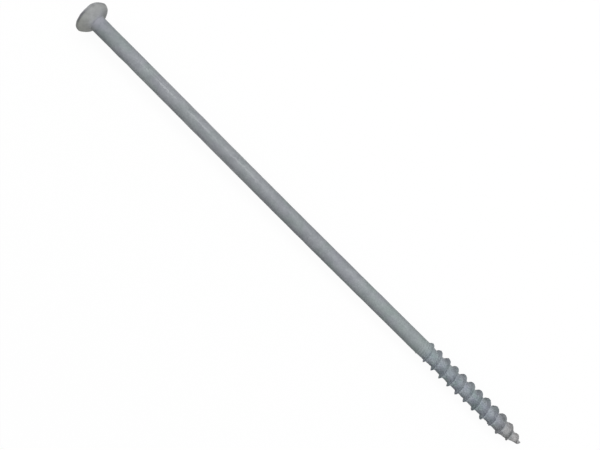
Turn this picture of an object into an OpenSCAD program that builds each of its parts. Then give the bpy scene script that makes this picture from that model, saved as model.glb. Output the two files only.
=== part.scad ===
// Gutter screw: a long steel screw, headed and rolled from one wire, with a flat
// countersunk head, a six-lobe drive recess, a plain shank and a coarse thread
// that runs down to a blunt gimlet point. It lies on its side, as it comes to
// rest on a table: +X runs from the head to the point, and +Z is up.

/* [Screw] */
// Length over all, from the face of the head to the tip of the point
overall_length = 178; // [130:1:240]
// Diameter of the plain shank
shank_d = 5; // [4.6:0.1:5.6]

/* [Head] */
// Diameter of the head
head_d = 10.8; // [10:0.1:13]
// Height of the rim, from the face to the start of the countersink
rim_height = 0.55; // [0.4:0.05:1]
// Radius of the rounded edges of the rim
rim_round = 0.25; // [0.1:0.05:0.3]
// Angle of the countersink, measured from side to side halfway down
countersink_angle = 96; // [80:1:100]
// How far the crowned countersink turns from its middle to the rim, and to the neck
countersink_crown = 14; // [4:1:20]
// Radius of the fillet between the countersink and the shank
neck_fillet = 0.3; // [0.2:0.1:2]

/* [Drive recess] */
// Width of the recess across opposite points
drive_points_d = 5.6; // [5.2:0.05:5.9]
// Width of the recess across opposite lobes
drive_lobes_d = 3.95; // [3.8:0.05:4.1]
// Radius of each rounded point
drive_point_r = 0.45; // [0.4:0.01:0.5]
// Depth of the recess below the face of the head
drive_depth = 2.4; // [1.8:0.1:2.6]
// Width of the rounded lip round the mouth of the recess
drive_lip = 0.45; // [0.2:0.05:0.6]
// How much narrower the walls stand at the floor, on each side
drive_draft = 0.12; // [0.05:0.01:0.2]

/* [Thread] */
// Length of the threaded end, with the point
thread_length = 40.5; // [30:0.5:60]
// Diameter over the crests of the thread
thread_d = 6.4; // [5.9:0.05:7]
// Diameter of the core at the roots of the thread
root_d = 4.35; // [3.8:0.05:4.4]
// Distance from one crest to the next
thread_pitch = 3.36; // [2.8:0.02:4.2]
// Width of the flat along each crest
crest_flat = 0.14; // [0.1:0.02:0.4]
// Angle between the two flanks of the thread
flank_angle = 56; // [40:1:60]
// Number of turns in which the thread rises out of the shank
runout_turns = 2.4; // [1.5:0.1:4]

/* [Point] */
// Length over which the core narrows to the tip
point_length = 6.8; // [5:0.1:9]
// Length over which the crests come down to the tip
point_thread_length = 9.8; // [9:0.1:14]
// Diameter of the blunt tip
tip_d = 1.2; // [0.8:0.1:1.8]

/* [Hidden] */
$fn = 96;

// Radii that go with the diameters above
head_r = head_d / 2;
shank_r = shank_d / 2;
thread_r = thread_d / 2;
root_r = root_d / 2;
tip_r = tip_d / 2;

// Countersink: its slope at the rim and at the neck, and the arc between them
rim_slope = countersink_angle / 2 - countersink_crown;
neck_slope = countersink_angle / 2 + countersink_crown;
rim_bottom = rim_height - rim_round * tan(rim_slope / 2);
crown_top_r = head_r - rim_round * (1 - cos(rim_slope));
crown_foot_r = shank_r + neck_fillet * (1 - cos(neck_slope));
crown_radius = (crown_top_r - crown_foot_r) / (cos(rim_slope) - cos(neck_slope));
crown_centre = [head_r - rim_round, rim_bottom]
    + (rim_round - crown_radius) * [cos(rim_slope), sin(rim_slope)];
fillet_end = crown_centre[1] + (crown_radius + neck_fillet) * sin(neck_slope);

// Stations along the axis, counted from the face of the head
thread_start = overall_length - thread_length;
crest_end = overall_length - point_thread_length;
point_start = overall_length - point_length;
// Length over which the shank narrows to the core, in turns of the thread
narrowing_turns = 1.5;
narrowing_end = thread_start + narrowing_turns * thread_pitch;

// Helix: the ridge starts under the surface of the shank and dies out at the tip.
// Its steps are counted from the middle of the flat that lies on the table.
ridge_lead_turns = 0.2;
steps_per_turn = 24;
step_length = thread_pitch / steps_per_turn;
step_angle = 360 / steps_per_turn;
ridge_start = thread_start - ridge_lead_turns * thread_pitch;
first_step = floor((ridge_start - crest_end) / step_length);
last_step = floor((overall_length - tip_r - crest_end) / step_length);
// How deep the foot of the ridge is sunk into the core
ridge_sink = 0.25;
// Share of the crest's radius that is left at the tip, and how it comes down
crest_at_tip = 0.28;
crest_fall = 1.7;
// Part of the last turn in which the ridge dies out
fade_turns = 0.3;

// Steps of an arc in a turned outline
arc_steps = 8;
// Points round each of the six points of the recess, and down its lip
lobe_count = 6;
lobe_steps = 6;
lip_steps = 4;
// How far a cutting shape reaches past the face that it cuts
cut_margin = 0.5;

// The screw rests on the rim of its head and on a flat of its last full crest
crest_bottom = crest_end + (step_length + crest_flat) / 2;
crest_bottom_r = thread_r * cos(step_angle / 2);
lie_angle = atan((head_r - crest_bottom_r) / (crest_bottom - rim_bottom));
// Height of the middle of the face above the table, and where the middle of the length lies
face_height = head_r * cos(lie_angle) + rim_bottom * sin(lie_angle);
half_span = (overall_length * cos(lie_angle) + (tip_r - head_r + rim_round) * sin(lie_angle)) / 2;

// Share from 0 to 1, held at its ends
function share(x) = min(1, max(0, x));

// Smooth step from 0 to 1
function smooth(x) = let (u = share(x)) u * u * (3 - 2 * u);

// Points on an arc, from one angle to the other
function arc(centre, radius, from, to, steps) = [
    for (i = [0 : steps])
        let (a = from + (to - from) * i / steps)
        centre + radius * [cos(a), sin(a)]
];

// Radius of the core under the thread, down to the tip
function core_radius(z) = root_r - (root_r - tip_r) * smooth((z - point_start) / point_length);

// Radius of the thread's crest: it rises out of the shank and comes down to the tip
function crest_radius(z, turns_left) =
    let (
        rise = share((z - ridge_start) / (runout_turns * thread_pitch)),
        fall = share((z - crest_end) / point_thread_length),
        height = 1 - pow(1 - rise, 3),
        full = thread_r * (1 - (1 - crest_at_tip) * pow(fall, crest_fall)),
        core = core_radius(z),
        fade = smooth(turns_left / fade_turns)
    )
    core - ridge_sink / 2 + (full - core + ridge_sink / 2) * height * fade;

// Outline of the turned blank, from the middle of the face to the tip
function blank_outline() = concat(
    [[0, 0]],
    arc([head_r - rim_round, rim_round], rim_round, -90, 0, arc_steps),
    arc([head_r - rim_round, rim_bottom], rim_round, 0, rim_slope, arc_steps / 2),
    [for (i = [1 : arc_steps]) arc(crown_centre, crown_radius, rim_slope, neck_slope, arc_steps)[i]],
    [for (i = [1 : arc_steps])
        arc([shank_r + neck_fillet, fillet_end], neck_fillet, 180 + neck_slope, 180, arc_steps)[i]],
    [[shank_r, thread_start], [root_r, narrowing_end]],
    [
        for (i = [0 : arc_steps])
            let (z = point_start + point_length * i / arc_steps)
            [core_radius(z), z]
    ],
    [[0, overall_length]]
);

// Outline of the six-lobe recess, moved out by a distance from its nominal walls
function recess_outline(out) =
    let (
        point_at = drive_points_d / 2 - drive_point_r,
        half_lobes = drive_lobes_d / 2,
        pitch_angle = 360 / lobe_count,
        lean = cos(pitch_angle / 2),
        lobe_r = (pow(drive_point_r, 2) - pow(point_at, 2) - pow(half_lobes, 2)
            + 2 * lean * point_at * half_lobes)
            / (2 * (half_lobes - lean * point_at - drive_point_r)),
        lobe_at = half_lobes + lobe_r,
        // Angle at which a point's arc meets its lobe's arc
        meet = atan2(lobe_at * sin(pitch_angle / 2), lobe_at * lean - point_at)
    )
    [
        for (k = [0 : lobe_count - 1])
            let (turn = k * pitch_angle)
            each concat(
                arc(point_at * [cos(turn), sin(turn)], drive_point_r + out,
                    turn - meet, turn + meet, lobe_steps),
                [
                    for (i = [1 : lobe_steps - 1])
                        let (a = turn + 180 + meet + (pitch_angle - 2 * meet) * i / lobe_steps)
                        lobe_at * [cos(turn + pitch_angle / 2), sin(turn + pitch_angle / 2)]
                            + (lobe_r - out) * [cos(a), sin(a)]
                ]
            )
    ];

// Solid through a stack of outlines that all have as many points, each [height, points]
module loft(stack) {
    count = len(stack[0][1]);
    last = len(stack) - 1;
    points = [for (ring = stack) each [for (p = ring[1]) [p[0], p[1], ring[0]]]];
    sides = [
        for (j = [0 : last - 1])
            for (i = [0 : count - 1])
                let (
                    a = j * count + i,
                    b = j * count + (i + 1) % count
                )
                each [[a, b + count, b], [a, a + count, b + count]]
    ];
    floor_face = [for (i = [0 : count - 1]) i];
    roof_face = [for (i = [count - 1 : -1 : 0]) last * count + i];
    polyhedron(points, concat(sides, [roof_face, floor_face]));
}

// Six-lobe recess, cut from the face down, with a rounded lip and a flat floor
module drive_recess() {
    lip = [
        for (i = [0 : lip_steps])
            let (a = 90 * i / lip_steps)
            [drive_lip * (1 - cos(a)), recess_outline(drive_lip * (1 - sin(a)))]
    ];
    loft(concat(
        [[-cut_margin, recess_outline(drive_lip)]],
        lip,
        [[drive_depth, recess_outline(-drive_draft)]]
    ));
}

// One ridge wound round the core, with a flat crest and two flanks
module thread_ridge() {
    steps = last_step - first_step;
    corners = 4;
    lean = tan(flank_angle / 2);
    points = [
        for (k = [first_step : last_step])
            let (
                a = (k + 0.5) * step_angle,
                z = crest_end + (k + 0.5) * step_length,
                crest = crest_radius(z, (last_step - k) / steps_per_turn),
                foot = core_radius(z) - ridge_sink,
                half_foot = crest_flat / 2 + (crest - foot) * lean
            )
            each [
                [foot * cos(a), foot * sin(a), z - half_foot],
                [crest * cos(a), crest * sin(a), z - crest_flat / 2],
                [crest * cos(a), crest * sin(a), z + crest_flat / 2],
                [foot * cos(a), foot * sin(a), z + half_foot]
            ]
    ];
    sides = [
        for (k = [0 : steps - 1])
            for (j = [0 : corners - 1])
                let (
                    a = k * corners + j,
                    b = k * corners + (j + 1) % corners
                )
                each [[a, b, b + corners], [a, b + corners, a + corners]]
    ];
    first_face = [for (j = [corners - 1 : -1 : 0]) j];
    last_face = [for (j = [0 : corners - 1]) steps * corners + j];
    polyhedron(points, concat(sides, [first_face, last_face]));
}

// The whole screw, upright, with the face of its head at the origin
module upright_screw() {
    difference() {
        union() {
            rotate_extrude() polygon(blank_outline());
            thread_ridge();
        }
        drive_recess();
    }
}

module gutter_screw() {
    color([0.56, 0.58, 0.6])
        translate([-half_span, 0, face_height])
            rotate([0, 90 + lie_angle, 0])
                upright_screw();
}

gutter_screw();
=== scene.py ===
import math

import bpy
import numpy as np
from mathutils import Matrix, Vector


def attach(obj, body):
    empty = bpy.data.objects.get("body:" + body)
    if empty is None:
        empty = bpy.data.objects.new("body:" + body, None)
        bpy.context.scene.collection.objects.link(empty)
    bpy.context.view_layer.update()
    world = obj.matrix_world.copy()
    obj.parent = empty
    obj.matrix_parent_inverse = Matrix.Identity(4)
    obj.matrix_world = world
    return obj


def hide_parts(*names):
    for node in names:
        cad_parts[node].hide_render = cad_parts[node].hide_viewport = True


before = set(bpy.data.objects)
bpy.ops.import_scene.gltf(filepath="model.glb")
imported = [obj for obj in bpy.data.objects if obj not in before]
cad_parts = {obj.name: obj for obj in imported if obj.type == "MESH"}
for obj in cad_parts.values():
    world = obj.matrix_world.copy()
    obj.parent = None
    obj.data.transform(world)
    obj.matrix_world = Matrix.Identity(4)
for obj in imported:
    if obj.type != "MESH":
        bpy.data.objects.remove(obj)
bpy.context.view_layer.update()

# Gutter screw. One length of steel wire, headed and punched with a six-lobe recess at
# one end and thread-rolled to a blunt gimlet point at the other. It was then dipped in
# molten zinc, which rounds every edge and sets to a matt, clouded grey.

# It is worked out upright, in millimetres, as rings of points at stations that run from
# the face of the head to the tip.
overall_length = 178.0
around = 180
turn = np.linspace(0, 2 * np.pi, around, endpoint=False)[None, :]


def ramp(x):
    """Smooth step: three times the square less twice the cube, held at 0 and at 1."""
    x = np.clip(x, 0, 1)
    return x * x * (3 - 2 * x)


# The recess: six rounded points between six rounded lobes. Its thick soft lip opens to
# a slightly uneven mouth of six soft sides, with the corners over the points.
points_radius, lobes_radius, point_round = 2.8, 1.975, 0.45
recess_depth, recess_foot, recess_draft = 2.4, 0.28, 0.12
lip_depth, lip_power = 0.65, 2 / 1.35
floor_start, floor_rows, foot_rows, wall_rows, lip_rows = 0.06, 10, 5, 6, 15
mouth_reach, mouth_soft = 2.9, 0.1
half_sixth = np.pi / 6
from_point = np.abs((turn + half_sixth) % (2 * half_sixth) - half_sixth)
mouth = mouth_reach / np.cos(half_sixth - np.sqrt(from_point ** 2 + mouth_soft ** 2))
for waves, wave_height, wave_start in ((2, 0.04, 0.6), (5, 0.04, 2.1), (11, 0.03, 0.0)):
    mouth += wave_height * np.sin(waves * turn + wave_start)


def recess_radius(out):
    """Distance from the axis to the recess wall, moved out by a length.
    Near a point it is the far side of a circle round the point's centre, and between
    points the near side of a circle round the lobe's centre; both in polar form."""
    reach = points_radius - point_round
    lean = np.cos(half_sixth)
    lobe_round = (
        (point_round ** 2 - reach ** 2 - lobes_radius ** 2 + 2 * lean * reach * lobes_radius)
        / (2 * (lobes_radius - lean * reach - point_round)))
    lobe_reach = lobes_radius + lobe_round
    meet = np.arctan2(lobe_reach * np.sin(half_sixth), lobe_reach * lean - reach)
    swell, waist = point_round + out, lobe_round - out
    change = np.arctan2(swell * np.sin(meet), reach + swell * np.cos(meet))
    from_lobe = half_sixth - from_point
    point = reach * np.cos(from_point) + np.sqrt(
        np.maximum(swell ** 2 - (reach * np.sin(from_point)) ** 2, 0))
    lobe = lobe_reach * np.cos(from_lobe) - np.sqrt(
        np.maximum(waist ** 2 - (lobe_reach * np.sin(from_lobe)) ** 2, 0))
    return np.where(from_point < change, point, lobe)


def recess_rows():
    """Floor, foot, wall and lip of the recess, from the middle out, as radius and depth.
    The foot is a quarter circle, the wall leans out by its draft, and the lip is a
    quarter of a superellipse from the wall out to the mouth."""
    share = np.linspace(floor_start, 1, floor_rows)[:, None]
    floor_r = share * recess_radius(-recess_draft - recess_foot)
    floor_z = recess_depth + 0 * floor_r
    bend = np.radians(np.linspace(0, 90, foot_rows + 1)[1:])[:, None]
    foot_r = recess_radius(-recess_draft - recess_foot * (1 - np.sin(bend)))
    foot_z = recess_depth - recess_foot * (1 - np.cos(bend)) + 0 * turn
    rise = np.linspace(0, 1, wall_rows + 2)[1:-1, None]
    wall_r = recess_radius(-recess_draft * (1 - rise))
    wall_z = (recess_depth - recess_foot) * (1 - rise) + lip_depth * rise + 0 * turn
    curl = np.radians(np.linspace(90, 0, lip_rows))[:, None]
    lip_r = recess_radius(0) + (mouth - recess_radius(0)) * (1 - np.sin(curl) ** lip_power)
    lip_z = lip_depth * (1 - np.abs(np.cos(curl)) ** lip_power) + 0 * turn
    return (np.vstack([floor_r, foot_r, wall_r, lip_r]),
            np.vstack([floor_z, foot_z, wall_z, lip_z]))


# The head: a flat face, a rounded rim and a countersink that swells a little.
head_radius, rim_height, rim_round = 5.4, 0.55, 0.25
shank_radius, neck_fillet = 2.5, 0.3
rim_slope, neck_slope = math.radians(34), math.radians(62)
rim_bottom = rim_height - rim_round * math.tan(rim_slope / 2)
crown_top = head_radius - rim_round * (1 - math.cos(rim_slope))
crown_foot = shank_radius + neck_fillet * (1 - math.cos(neck_slope))
crown_radius = (crown_top - crown_foot) / (math.cos(rim_slope) - math.cos(neck_slope))
crown_x = head_radius - rim_round + (rim_round - crown_radius) * math.cos(rim_slope)
crown_z = rim_bottom + (rim_round - crown_radius) * math.sin(rim_slope)
neck_end = crown_z + (crown_radius + neck_fillet) * math.sin(neck_slope)
face_rows, rim_rows, edge_rows, crown_rows, fillet_rows = 18, 7, 4, 16, 5


def arc_rows(centre_r, centre_z, radius, start, stop, rows):
    """Rows along a circle in the turned outline, without the row at its start."""
    bend = np.linspace(start, stop, rows + 1)[1:, None]
    return centre_r + radius * np.cos(bend) + 0 * turn, centre_z + radius * np.sin(bend) + 0 * turn


def head_rows():
    """Face, rim, countersink and neck fillet: the face runs straight from the lip of the
    recess to the rim, and the rest is four circles, each one tangent to the next."""
    edge = head_radius - rim_round
    share = np.linspace(0, 1, face_rows + 1)[1:, None]
    face_r = (1 - share) * mouth + share * edge
    parts = [
        (face_r, 0 * face_r),
        arc_rows(edge, rim_round, rim_round, -np.pi / 2, 0, rim_rows),
        arc_rows(edge, rim_bottom, rim_round, 0, rim_slope, edge_rows),
        arc_rows(crown_x, crown_z, crown_radius, rim_slope, neck_slope, crown_rows),
        arc_rows(shank_radius + neck_fillet, neck_end, neck_fillet,
                 np.pi + neck_slope, np.pi, fillet_rows),
    ]
    return np.vstack([r for r, z in parts]), np.vstack([z for r, z in parts])


# The thread: a rolled ridge that climbs out of the shank and follows the narrowing core.
# Its crests stand a little higher on one side, and it dies out just before the tip.
thread_radius, root_radius, pitch = 3.2, 2.175, 3.36
thread_start, crest_end, ridge_end = 137.5, 168.2, 177.37
point_start, point_length, tip_radius, tip_round = 171.2, 6.8, 0.6, 0.12
narrowing_end, ridge_start = thread_start + 1.5 * pitch, thread_start - 0.2 * pitch
climb_length, fade_length = 1.9 * pitch, 0.3 * pitch
crest_loss, crest_loss_power, crest_tilt, crest_trim = 0.72, 1.7, 0.09, 0.02
ridge_sink, crest_soft, ridge_reach = 0.12, 0.1, 1.5
tip_flank, head_flank = math.tan(math.radians(27)), math.tan(math.radians(26))
tip_blend, head_blend = 0.12, 0.28
# Painted shade beside each crest, faded out along the far side; painted highlight at the other
# flank's foot.
least_height, flank_shade_edge, flank_shade_start, flank_shade_step, flank_shade_height = 0.12, 0.1, 0.62, 0.2, 0.35
flank_shade_fade, shade_fade_angle, shade_fade_width = 0.9, math.radians(100), math.radians(50)
highlight_place, highlight_width, highlight_height = 0.72, 0.17, 0.5


def core_radius(z):
    """Radius under the thread: the shank, a straight fall to the root, then a smooth
    fall to the tip."""
    fall = np.clip((z - thread_start) / (narrowing_end - thread_start), 0, 1)
    narrow = ramp((z - point_start) / point_length)
    return (shank_radius + (root_radius - shank_radius) * fall
            - (root_radius - tip_radius) * narrow)


def thread_rows(z):
    """Thread and point over the stations z, as radius and station, and three marks.
    A point's distance from the nearest turn of the helix sets how far it lies down the
    ridge's flank, which falls from a rounded crest as the root of the distance squared
    plus a round squared. The ridge and the core join by a smooth maximum. The marks are
    the height above the core, painted shade on the flank (a smooth step across the crest
    times one up the flank) and a painted highlight at the other flank's foot (a bell at a
    fixed distance from the crest)."""
    away = (z - crest_end - turn / (2 * np.pi) * pitch + pitch / 2) % pitch - pitch / 2
    centre = z - away
    climb = 1 - (1 - np.clip((centre - ridge_start) / climb_length, 0, 1)) ** 3
    fall = np.clip((centre - crest_end) / (overall_length - crest_end), 0, 1)
    fade = ramp((ridge_end - centre) / fade_length)
    core = core_radius(z)
    full = (thread_radius * (1 - crest_loss * fall ** crest_loss_power)
            + crest_tilt * np.sin(turn) - crest_trim)
    crest = core + (full - core + ridge_sink) * climb * fade - ridge_sink
    flank = np.where(away > 0, tip_flank, head_flank)
    ridge = crest - (np.sqrt(away ** 2 + crest_soft ** 2) - crest_soft) / flank
    blend = np.where(away < 0, head_blend, tip_blend)
    radius = (core + ridge + np.sqrt((core - ridge) ** 2 + blend ** 2)) / 2
    radius = np.where(ridge < core - ridge_reach, core, radius)
    relief = np.clip((radius - core) / (thread_radius - root_radius), 0, 1)
    height = np.maximum(crest - core, least_height)
    # Painted shade on the flank by each crest, faded out along the far side.
    flank_shade = ramp((flank_shade_edge - away) / (2 * flank_shade_edge))
    flank_shade *= ramp(((radius - core) / height - flank_shade_start) / flank_shade_step)
    flank_shade *= np.clip(height / flank_shade_height, 0, 1)
    flank_shade *= 1 - flank_shade_fade * np.exp(-((turn - shade_fade_angle) / shade_fade_width) ** 2)
    # Painted highlight at the foot of the other flank.
    foot = np.exp(-((away - highlight_place) / highlight_width) ** 2) * np.clip(height / highlight_height, 0, 1)
    return radius, z + 0 * turn, relief, flank_shade, foot


# The bare steel, as rows from the middle of the recess floor to the tip.
shank_end, shank_rows = thread_start - 1.5, 75
thread_row_count, tip_rows, tip_bend_end = 339, 5, 80
recess_r, recess_z = recess_rows()
head_r, head_z = head_rows()
shank_z = np.linspace(neck_end, shank_end, shank_rows + 1)[1:, None] + 0 * turn
shank_r = shank_radius + 0 * shank_z
thread_z = np.linspace(shank_end, overall_length - tip_round, thread_row_count + 1)[1:, None]
thread_r, thread_z, thread_relief, thread_flank_shade, thread_foot_highlight = thread_rows(thread_z)
tip_bend = np.radians(np.linspace(0, tip_bend_end, tip_rows + 1))[1:, None]
tip_r = thread_r[-1:] * np.cos(tip_bend)
tip_z = overall_length - tip_round * (1 - np.sin(tip_bend)) + 0 * turn
radius = np.vstack([recess_r, head_r, shank_r, thread_r, tip_r])
station = np.vstack([recess_z, head_z, shank_z, thread_z, tip_z])
rows = len(radius)
spin = turn + 0 * radius
row = np.arange(rows)[:, None] + 0 * spin
face_end = len(recess_r) + face_rows
outside = row >= face_end
from_tip = overall_length - station


def zinc_ripple(points, wavelength, waves, seed):
    """Soft lumps of zinc: plane sine waves in random directions, all near one wavelength,
    summed and divided by the root of their number."""
    draw = np.random.default_rng(seed)
    way = draw.normal(size=(3, waves))
    way *= 2 * np.pi / wavelength / np.linalg.norm(way, axis=0) * draw.uniform(0.7, 1.4, waves)
    return np.sin(points @ way + draw.uniform(0, 2 * np.pi, waves)).mean(-1) * math.sqrt(waves)


def bump_at(angle, place, wide, long):
    """A gaussian lump round an angle of the screw and a station along it."""
    swing = (spin - math.radians(angle) + np.pi) % (2 * np.pi) - np.pi
    return np.exp(-((swing / math.radians(wide)) ** 2) - ((station - place) / long) ** 2)


def lumps(*table):
    """Sum of gaussian lumps, each given as height, angle, station, width and length."""
    return sum(height * bump_at(*where) for height, *where in table)


def round_mouth(inward, wide):
    """A gaussian bead round the mouth of the recess, moved in from it by a length."""
    bead = np.exp(-((radius - mouth + inward) / wide) ** 2)
    return bead * (row < face_end) * (station < lip_depth)


# The zinc: a rippled coat, thicker in a bead round the recess, crusted on the face and
# thread, thin at the tip, and lumpy on the countersink and where the thread runs out.
upright = np.stack([radius * np.cos(spin), radius * np.sin(spin), station], -1)
normal = np.cross(np.roll(upright, -1, 1) - np.roll(upright, 1, 1), np.gradient(upright, axis=0))
normal /= np.linalg.norm(normal, axis=-1, keepdims=True) + 1e-9
frost_start, frost_rows = len(recess_r) - lip_rows + 1, 6
frost_depth, frost_fade = 1, 1
frosted = ramp((row - frost_start) / frost_rows) * (1 - ramp((station - frost_depth) / frost_fade))
bead, lip = round_mouth(0.02, 0.2), round_mouth(0.3, 0.35)
crust = zinc_ripple(upright, wavelength=1.3, waves=40, seed=13)
coat = 0.02 * zinc_ripple(upright, wavelength=5.0, waves=24, seed=11)
coat += 0.01 * zinc_ripple(upright, wavelength=1.6, waves=32, seed=12)
coat += 0.015 * frosted * crust + bead * (0.07 + 0.05 * crust) + 0.04 * lip * crust
thread_crust = 0.03 * crust + 0.025 * zinc_ripple(upright, wavelength=0.75, waves=40, seed=14)
coat += ramp((station - thread_start) / 3) * thread_crust
coat *= 1 - 0.8 * ramp((2.2 - from_tip) / 1.2)
run_out_lines, run_out_place, run_out_width = 4, 137.7, 1.4
run_out = np.sin(run_out_lines * (2 * np.pi * station / pitch - turn))
run_out *= np.exp(-((station - run_out_place) / run_out_width) ** 2)
coat += 0.04 * run_out + lumps((0.2, 90, 139.2, 50, 0.8))
coat += outside * lumps((0.36, 92, 1.4, 50, 0.8), (0.28, 180, 3.0, 55, 0.7),
                        (-0.2, 66, 2.7, 40, 0.45), (-0.2, 294, 2.7, 40, 0.45))
upright += normal * coat[..., None]

# Wear and accidents: nicked crests, an uneven rim, a countersink that sits askew, bent
# crests, a slanted nib at the tip, and a faint bow along the whole screw.
nick = lumps((0.15, 270, 140.7, 45, 0.8), (0.12, 270, 157.3, 45, 0.7),
             (0.12, 265, 160.6, 45, 0.7), (0.7, 278, 167.3, 30, 0.7))
nick_root, nick_rise = 2.1, 0.6
upright[..., :2] *= 1 - (nick * ramp((radius - nick_root) / nick_rise) / radius)[..., None]
on_the_head = 1 - ramp((station - 1) / (neck_end - 1))
upper_side = upright[..., 1] / head_radius
below_face = ramp(station / 0.5) * outside
rim_lift, rim_swell, rim_dip = 0.07, 0.18, 0.6
rim_wave = (rim_lift + rim_swell * np.exp(-((upper_side - 0.36) / 0.2) ** 2)
            - rim_dip * ramp((upper_side - 0.62) / 0.4))
rim_start, rim_blend, askew = 3.6, 1.2, 0.2
upright[..., 2] -= (rim_wave * on_the_head * (1 - below_face)
                    * ramp((radius - rim_start) / rim_blend))
upright[..., 2] += askew * upper_side * on_the_head * below_face * (0.6 + 0.4 * upper_side)
upright[..., 2] -= outside * lumps((0.42, 85, 3.0, 42, 0.45), (0.1, 275, 3.0, 35, 0.45))
upright[..., 2] += lumps((0.2, 270, 160.6, 45, 1.4), (0.45, 270, 164, 45, 1.5),
                         (0.25, 270, 174, 45, 1.4))
nib_slant, nib_length, tip_loss, tip_loss_length = 0.45, 1.2, 0.25, 1.5
upright[..., 2] += nib_slant * upright[..., 1] * ramp((nib_length - from_tip) / nib_length)
upright[..., 2] -= tip_loss * ramp((tip_loss_length - from_tip) / tip_loss_length)
bow, bow_length = 0.25, 162
upright[..., 1] -= bow * np.sin(np.pi * np.clip(station / bow_length, 0, 1)) ** 2

# Where it lies: on the rim of its head and on a flat of its last full crest.
helix_steps, crest_flat = 24, 0.14
crest_bottom = crest_end + (pitch / helix_steps + crest_flat) / 2
crest_height = thread_radius * math.cos(math.pi / helix_steps)
lie = math.atan((head_radius - crest_height) / (crest_bottom - rim_bottom))
face_height = head_radius * math.cos(lie) + rim_bottom * math.sin(lie)
half_span = (overall_length * math.cos(lie)
             + (tip_radius - head_radius + rim_round) * math.sin(lie)) / 2


def laid_down(points):
    """Turns upright points on to their side, drops them on the table, and gives metres."""
    x, y, z = points[..., 0], points[..., 1], points[..., 2]
    along = -half_span + z * math.cos(lie) - x * math.sin(lie)
    height = face_height - x * math.cos(lie) - z * math.sin(lie)
    return np.stack([along, y, height], -1) / 1000


floor_pole = np.array([[0, 0, recess_depth]])
tip_pole = np.array([[0, 0, overall_length - tip_loss]])
corners = laid_down(np.vstack([floor_pole, upright.reshape(-1, 3), tip_pole]))
column = np.arange(around)
following = np.roll(column, -1)
first = 1 + np.arange(rows - 1)[:, None] * around
quads = np.stack([first + column, first + following,
                  first + around + following, first + around + column], -1)
last = 1 + (rows - 1) * around
floor_fan = np.stack([0 * column, 1 + following, 1 + column], -1)
tip_fan = np.stack([last + column, last + following, 0 * column + len(corners) - 1], -1)
faces = quads.reshape(-1, 4).tolist() + floor_fan.tolist() + tip_fan.tolist()
screw_mesh = bpy.data.meshes.new("gutter_screw_zinc")
screw_mesh.from_pydata(corners.tolist(), [], faces)
screw_mesh.polygons.foreach_set("use_smooth", np.ones(len(screw_mesh.polygons), bool))
screw = bpy.data.objects.new("gutter_screw_zinc", screw_mesh)
bpy.context.scene.collection.objects.link(screw)


def on_thread(values):
    """A mark that the thread's rows carry, with 0 on all other rows."""
    spread = np.zeros((rows, around))
    spread[-len(thread_r) - len(tip_r):-len(tip_r)] = values
    return spread


# Marks from 0 to 1 that tell the finish where it is: up the thread, on its painted shade
# beside each crest or painted highlight at the other flank's foot, in the recess, on the face,
# lip, rim or countersink with its painted light, on the patch of painted light or the pool of
# zinc below the head, and on the head, the threaded end or the point at all.
hollow, face = np.zeros((rows, around)), np.zeros((rows, around))
hollow[:len(recess_r)] = np.clip(recess_z / recess_depth, 0, 1)
face[:face_end] = 1
face[face_end:face_end + rim_rows] = np.linspace(1, 0, rim_rows)[:, None]
rim = (1 - ramp((station - 0.5) / 0.5)) * ramp((radius - head_radius + 0.3) / 0.2)
marks = {
    "relief": on_thread(thread_relief),
    # Painted shade beside each crest and painted highlight at the other flank's foot, also on the
    # run-out lines.
    "flank_shade": on_thread(thread_flank_shade) + 0.16 * np.maximum(-run_out, 0),
    "foot": on_thread(thread_foot_highlight) + 0.7 * np.maximum(run_out, 0),
    "hollow": hollow,
    "face": face,
    "lip": lip,
    "rim": rim * (0.4 + lumps((0.6, 198, station, 25, 1))),
    # Painted light down the countersink and on the head's lower side, and a patch of painted light
    # behind the rim.
    "countersink_light": (ramp((station - 0.3) / 2.4) + lumps((0.3, 265, 1.0, 60, 1.2))) * outside,
    "head_light_patch": lumps((1, 262, 1.3, 55, 1.9)) * outside,
    "pool": lumps((1, 170, 3.9, 60, 1.9)) * outside,
    "headed": 1 - ramp((station - neck_end + 1.0) / 1.8),
    "threaded": ramp((station - thread_start + 1) / 4),
    "pointed": ramp((station - 164) / 10),
}
for name, values in marks.items():
    layer = screw_mesh.attributes.new(name, "FLOAT", "POINT")
    with_poles = np.concatenate([values[0, :1], values.ravel(), values[-1, :1]])
    layer.data.foreach_set("value", with_poles.astype(np.float32))


class Wire:
    """A shader socket: sums on values add Math nodes, and node() adds any other node."""

    def __init__(self, tree, socket=None):
        self.tree, self.socket = tree, socket

    def put(self, socket, value):
        """Links a wire to a node's socket, or sets a plain value on it."""
        if isinstance(value, Wire):
            self.tree.links.new(value.socket, socket)
        else:
            socket.default_value = value

    def node(self, kind, settings, sockets, out=0):
        """A node of any kind: its settings, then its sockets, and the wire that leaves it."""
        made = self.tree.nodes.new(kind)
        for name, value in settings.items():
            setattr(made, name, value)
        for name, value in sockets.items():
            self.put(made.inputs[name], value)
        return Wire(self.tree, made.outputs[out])

    def sum(self, operation, one, other):
        """One Math node on two values."""
        return self.node("ShaderNodeMath", {"operation": operation}, {0: one, 1: other})

    def __add__(self, other):
        return self.sum("ADD", self, other)

    def __sub__(self, other):
        return self.sum("SUBTRACT", self, other)

    def __rsub__(self, other):
        return self.sum("SUBTRACT", other, self)

    def __mul__(self, other):
        return self.sum("MULTIPLY", self, other)

    def between(self, low, high):
        """0 below low, 1 above high, and a smooth step between."""
        return self.node("ShaderNodeMapRange", {"interpolation_type": "SMOOTHSTEP"},
                         {"Value": self, "From Min": low, "From Max": high})

    def tint(self, one, other):
        """One colour where this value is 0, the other where it is 1."""
        return self.node("ShaderNodeMix", {"data_type": "RGBA"}, {0: self, 6: one, 7: other}, 2)

    __radd__, __rmul__ = __add__, __mul__


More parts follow.
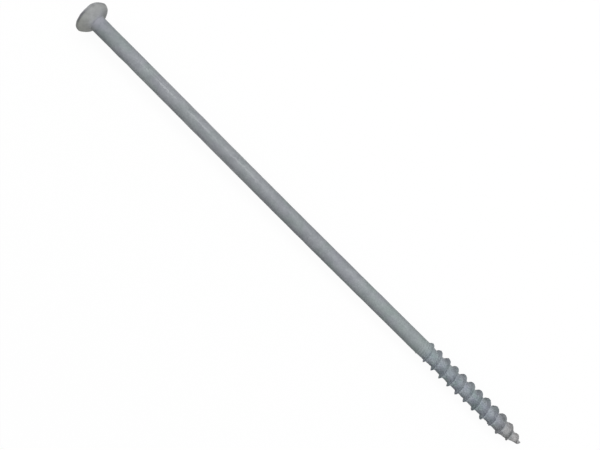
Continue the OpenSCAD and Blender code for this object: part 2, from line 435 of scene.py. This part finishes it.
def shade(red, green, blue):
    """A screen colour, out of 255, as the linear colour that a shader takes."""
    return tuple(((c / 255 + 0.055) / 1.055) ** 2.4 for c in (red, green, blue)) + (1,)


zinc = bpy.data.materials.new("matt_zinc")
zinc.use_nodes = True
start = Wire(zinc.node_tree)
place = start.node("ShaderNodeTexCoord", {}, {}, "Object")


def mottle(size, detail, offset):
    """Clouds of about one size, in millimetres, moved so that two sets don't line up."""
    moved = start.node("ShaderNodeVectorMath", {"operation": "ADD"},
                       {0: place, 1: (offset, offset, offset)})
    return start.node("ShaderNodeTexNoise", {}, {
        "Vector": moved, "Scale": 1000 / size, "Detail": detail, "Roughness": 0.55}, "Fac")


def mark(name):
    """One of the marks that the mesh carries."""
    return start.node("ShaderNodeAttribute", {"attribute_name": name}, {}, "Fac")


clouds, hue, patches = mottle(9, 3, 0), mottle(5.5, 1, 0.3), mottle(2.2, 4, 0.9)
grain, pitting, powder = mottle(0.55, 2, 0.5), mottle(0.24, 0, 0.7), mottle(0.16, 2, 0.2)
stain, flecks, frost = mottle(3.4, 2, 0.6), mottle(0.8, 2, 1.4), mottle(0.35, 3, 1.7)
up_thread, on_flank_shade, on_foot_highlight = mark("relief"), mark("flank_shade"), mark("foot")
in_recess, on_face, on_lip, on_rim = mark("hollow"), mark("face"), mark("lip"), mark("rim")
on_countersink_light, on_head_light_patch, in_pool = mark("countersink_light"), mark("head_light_patch"), mark("pool")
on_head, along_thread, at_point = mark("headed"), mark("threaded"), mark("pointed")
along, across = (start.node("ShaderNodeSeparateXYZ", {}, {"Vector": place}, axis) for axis in "XY")
cool = hue.between(0.35, 0.65) * (1 - along.between(0.028, 0.044) * 0.55)
cool = cool + along.between(-0.07, -0.055) * (0.45 - along.between(-0.03, -0.012) * 0.45)
pale = patches.between(0.35, 0.7)
dull = 1 - patches.between(0.3, 0.5)
pits = pitting.between(0.72, 0.88)

# Shank: clouded between grey-green and grey-lilac, and darker along its first half: greyer near the
# head, and painted shade towards the middle that dims the soft lamp's highlight there.
grey_green, grey_lilac = shade(139, 151, 149), shade(148, 150, 158)
cloud_grey, neck_grey, painted_shade_grey = shade(149, 154, 157), shade(136, 141, 145), shade(136, 140, 143)
# Painted shade towards the middle of the shank, where the soft lamp lights it most.
middle_painted_shade = along.between(-0.07, -0.056) * (0.45 - along.between(0.0, 0.02) * 0.45)
colour = cool.tint(grey_green, grey_lilac)
colour = (clouds.between(0.3, 0.72) * 0.6).tint(colour, cloud_grey)
colour = ((1 - along.between(-0.085, -0.064)) * 0.4).tint(colour, neck_grey)
colour = middle_painted_shade.tint(colour, painted_shade_grey)
# Thread: bluer than the shank, stained green and violet, flecked pale and dark, browner
# on its far side, warm grey at the point, with painted shade beside its crests and a painted
# highlight at their feet.
root_blue, crest_blue = shade(144, 153, 164), shade(149, 157, 168)
green_stain, violet_stain = shade(136, 157, 156), shade(150, 152, 171)
frost_blue, dull_blue, side_brown = shade(174, 180, 188), shade(112, 120, 128), shade(138, 136, 138)
point_dark, point_pale = shade(138, 132, 131), shade(194, 186, 184)
pale_fleck, dark_fleck = shade(186, 192, 197), shade(104, 111, 119)
flank_shade_dark, foot_highlight_pale = shade(54, 61, 72), shade(186, 195, 200)
thread_colour = up_thread.between(0.1, 0.8).tint(root_blue, crest_blue)
thread_colour = (stain.between(0.48, 0.6) * 0.75).tint(thread_colour, green_stain)
thread_colour = ((1 - stain.between(0.34, 0.46)) * 0.65).tint(thread_colour, violet_stain)
thread_colour = (pale * 0.34).tint(thread_colour, frost_blue)
thread_colour = (dull * 0.22).tint(thread_colour, dull_blue)
thread_colour = (across.between(0.0004, 0.0018) * 0.36).tint(thread_colour, side_brown)
thread_colour = (at_point * 0.85).tint(thread_colour, pale.tint(point_dark, point_pale))
thread_colour = (flecks.between(0.5, 0.68) * 0.28).tint(thread_colour, pale_fleck)
thread_colour = ((1 - flecks.between(0.34, 0.5)) * 0.28).tint(thread_colour, dark_fleck)
colour = (along_thread * 0.8).tint(colour, thread_colour)
# Painted shade beside each crest, and a painted highlight at the foot of the other flank.
colour = (on_flank_shade * (0.56 - at_point * 0.1)).tint(colour, flank_shade_dark)
colour = (on_foot_highlight * 0.3).tint(colour, foot_highlight_pale)
# Head: dull at the rim, with painted light that pales the countersink towards the neck and on its
# lower side, a pale warm patch of painted light low behind the rim, and lilac where zinc pooled at
# the neck.
rim_grey, countersink_light_grey, cool_grey = shade(160, 162, 158), shade(177, 179, 177), shade(166, 165, 167)
head_light_grey, pool_lilac = shade(203, 203, 192), shade(153, 152, 170)
# Painted light: the countersink paler towards the neck and on its lower side.
head_colour = on_countersink_light.tint(rim_grey, countersink_light_grey)
head_colour = (cool * 0.3).tint(head_colour, cool_grey)
colour = (on_head * 0.85).tint(colour, head_colour)
# Painted light: a pale warm patch on the lower side of the head.
colour = (on_head_light_patch * 0.46).tint(colour, head_light_grey)
colour = (in_pool * (0.2 + pale * 0.5)).tint(colour, pool_lilac)
# Face and recess: pale grey-green, palest on the lip, with painted shade deepening into the recess,
# and dark at the rim's edge.
face_green, face_cloud, face_cool = shade(162, 177, 170), shade(182, 196, 189), shade(178, 188, 182)
face_dull, face_frost, lip_pale = shade(138, 153, 146), shade(205, 218, 211), shade(196, 210, 203)
recess_painted_shade, rim_dark = shade(104, 116, 110), shade(90, 88, 97)
face_colour = clouds.between(0.3, 0.7).tint(face_green, face_cloud)
face_colour = (cool * 0.4).tint(face_colour, face_cool)
face_colour = ((1 - patches.between(0.32, 0.52)) * 0.4).tint(face_colour, face_dull)
face_colour = (frost.between(0.5, 0.7) * 0.4).tint(face_colour, face_frost)
colour = (on_face * 0.85).tint(colour, face_colour)
colour = (on_lip * 0.5).tint(colour, lip_pale)
# Painted shade, darker deeper in the recess.
colour = (in_recess.between(0.3, 1.0) * 0.9).tint(colour, recess_painted_shade)
colour = (on_rim * (1 - pale * 0.3)).tint(colour, rim_dark)
# All over: frosted and dull patches, powdery grain and pinholes.
frosted_grey, dull_grey = shade(182, 187, 188), shade(112, 117, 118)
pale_grain, dark_grain, pinhole = shade(184, 189, 190), shade(108, 113, 116), shade(96, 103, 103)
colour = (pale * (0.14 + on_head * 0.08)).tint(colour, frosted_grey)
colour = (dull * (0.16 + on_head * 0.08)).tint(colour, dull_grey)
colour = (grain.between(0.5, 0.75) * 0.15).tint(colour, pale_grain)
colour = ((1 - grain.between(0.25, 0.5)) * 0.16).tint(colour, dark_grain)
colour = (pits * (0.1 + on_face * 0.22)).tint(colour, pinhole)
# Surface: matt, with fine dents, and a thin streaky lustre along the shank below the head.
dent_height = grain * (0.25 + along_thread * 0.4) + patches * 0.4 + powder * 0.1
dent_height = dent_height - pits * (0.15 + on_face * 0.35)
dents = start.node("ShaderNodeBump", {}, {
    "Height": dent_height, "Strength": 0.6, "Distance": 0.00009})
streaks = start.node("ShaderNodeVectorMath", {"operation": "MULTIPLY"},
                     {0: place, 1: (220, 700, 700)})
lustre = start.node("ShaderNodeTexNoise", {}, {
    "Vector": streaks, "Scale": 1.0, "Detail": 2}, "Fac").between(0.36, 0.52)
lustre = lustre * along.between(-0.075, -0.06) * (1 - along.between(-0.03, -0.012))
surface = zinc.node_tree.nodes["Principled BSDF"]
start.put(surface.inputs["Base Color"], colour)
start.put(surface.inputs["Roughness"], 0.48 + clouds * 0.12 + grain * 0.1)
start.put(surface.inputs["Normal"], dents)
start.put(surface.inputs["Coat Weight"], grain.between(0.4, 0.65) * 0.06 + lustre * 0.4)
surface.inputs["Coat Roughness"].default_value = 0.13
surface.inputs["Metallic"].default_value = 0.06
surface.inputs["Specular IOR Level"].default_value = 0.1
screw_mesh.materials.append(zinc)
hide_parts("gutter_screw")
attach(screw, "root")

# Table top. A plain white sheet, larger than any view of the screw, that it lies on.
# To the camera and in reflections it is white, and it keeps a faint soft shadow.
sheet_reach = 3.0
sheet_mesh = bpy.data.meshes.new("table_top")
sheet_mesh.from_pydata(
    [(-sheet_reach, -sheet_reach, 0), (sheet_reach, -sheet_reach, 0),
     (sheet_reach, sheet_reach, 0), (-sheet_reach, sheet_reach, 0)], [], [(0, 1, 2, 3)])
sheet = bpy.data.objects.new("table_top", sheet_mesh)
bpy.context.scene.collection.objects.link(sheet)
paper = bpy.data.materials.new("white_paper")
paper.use_nodes = True
paper.node_tree.nodes.remove(paper.node_tree.nodes["Principled BSDF"])
page = Wire(paper.node_tree)
white, bounce_grey, glow_share = (1, 1, 1, 1), (0.14, 0.14, 0.14, 1), 0.95


def seen_white(wire):
    """1 for rays from the camera, reflections and glass, and 0 for the light that bounces."""
    camera_ray, glossy_ray, glass_ray = (
        wire.node("ShaderNodeLightPath", {}, {}, name)
        for name in ("Is Camera Ray", "Is Glossy Ray", "Is Transmission Ray"))
    return wire.sum("MAXIMUM", wire.sum("MAXIMUM", camera_ray, glossy_ray), glass_ray)


glow = page.node("ShaderNodeEmission", {}, {"Color": white, "Strength": 1.0})
white_share = seen_white(page)
matt = page.node("ShaderNodeBsdfDiffuse", {}, {"Color": white_share.tint(bounce_grey, white)})
mixed = page.node("ShaderNodeMixShader", {}, {0: white_share * glow_share, 1: matt, 2: glow})
page.put(paper.node_tree.nodes["Material Output"].inputs["Surface"], mixed)
sheet_mesh.materials.append(paper)

# Studio light. Six plain lamps face the screw: a large soft one and a thin tube high on
# the far side, a weak one low beside them, one past each end, and one before the face.
# The white room fills in the rest.
for lamp_name, lamp_place, lamp_long, lamp_wide, lamp_power in (
        ("soft_lamp", (0.0, 0.26, 0.485), 0.5, 0.2, 1.55),
        ("tube_lamp", (-0.1, 0.15, 0.52), 0.6, 0.012, 0.16),
        ("side_lamp", (-0.1, 0.5, 0.2), 0.4, 0.2, 0.26),
        ("point_lamp", (0.55, -0.1, 0.32), 0.4, 0.4, 1.25),
        ("head_lamp", (-0.55, -0.1, 0.28), 0.4, 0.4, 0.71),
        ("face_lamp", (-0.6, -0.06, 0.07), 0.3, 0.2, 0.95)):
    lamp_data = bpy.data.lights.new(lamp_name, "AREA")
    lamp_data.shape = "RECTANGLE"
    lamp_data.size, lamp_data.size_y = lamp_long, lamp_wide
    lamp_data.energy = lamp_power
    lamp = bpy.data.objects.new(lamp_name, lamp_data)
    stand = Vector(lamp_place)
    facing = stand.to_track_quat("Z", "Y").to_matrix().to_4x4()
    lamp.matrix_world = Matrix.Translation(stand) @ facing
    bpy.context.scene.collection.objects.link(lamp)
room = bpy.data.worlds.new("white_room")
room.use_nodes = True
air = Wire(room.node_tree)
fill = 0.27
sky = room.node_tree.nodes["Background"]
sky.inputs["Color"].default_value = white
air.put(sky.inputs["Strength"], seen_white(air) * (1 - fill) + fill)
bpy.context.scene.world = room
bpy.context.scene.view_settings.view_transform = "Standard"

# Camera. It stands close above the middle of the screw, leaning to the near side, and
# is turned so that the screw lies across the picture from upper left to lower right.
picture_width, lens_in_pixels = 600, 603.35
stand_off, lean_aside, lean_along = 0.17735, math.radians(4.085), math.radians(-0.218)
aim = Vector((-0.00272, 0.00007, 0.0042))
picture_turn = math.radians(44.85)
camera_data = bpy.data.cameras.new("camera")
camera_data.sensor_width = 36.0
camera_data.lens = lens_in_pixels / picture_width * camera_data.sensor_width
camera_data.clip_start = 0.01
camera = bpy.data.objects.new("camera", camera_data)
camera.matrix_world = (
    Matrix.Translation(aim) @ Matrix.Rotation(lean_along, 4, "Y")
    @ Matrix.Rotation(lean_aside, 4, "X") @ Matrix.Rotation(picture_turn, 4, "Z")
    @ Matrix.Translation((0, 0, stand_off)))
bpy.context.scene.collection.objects.link(camera)
bpy.context.scene.camera = camera
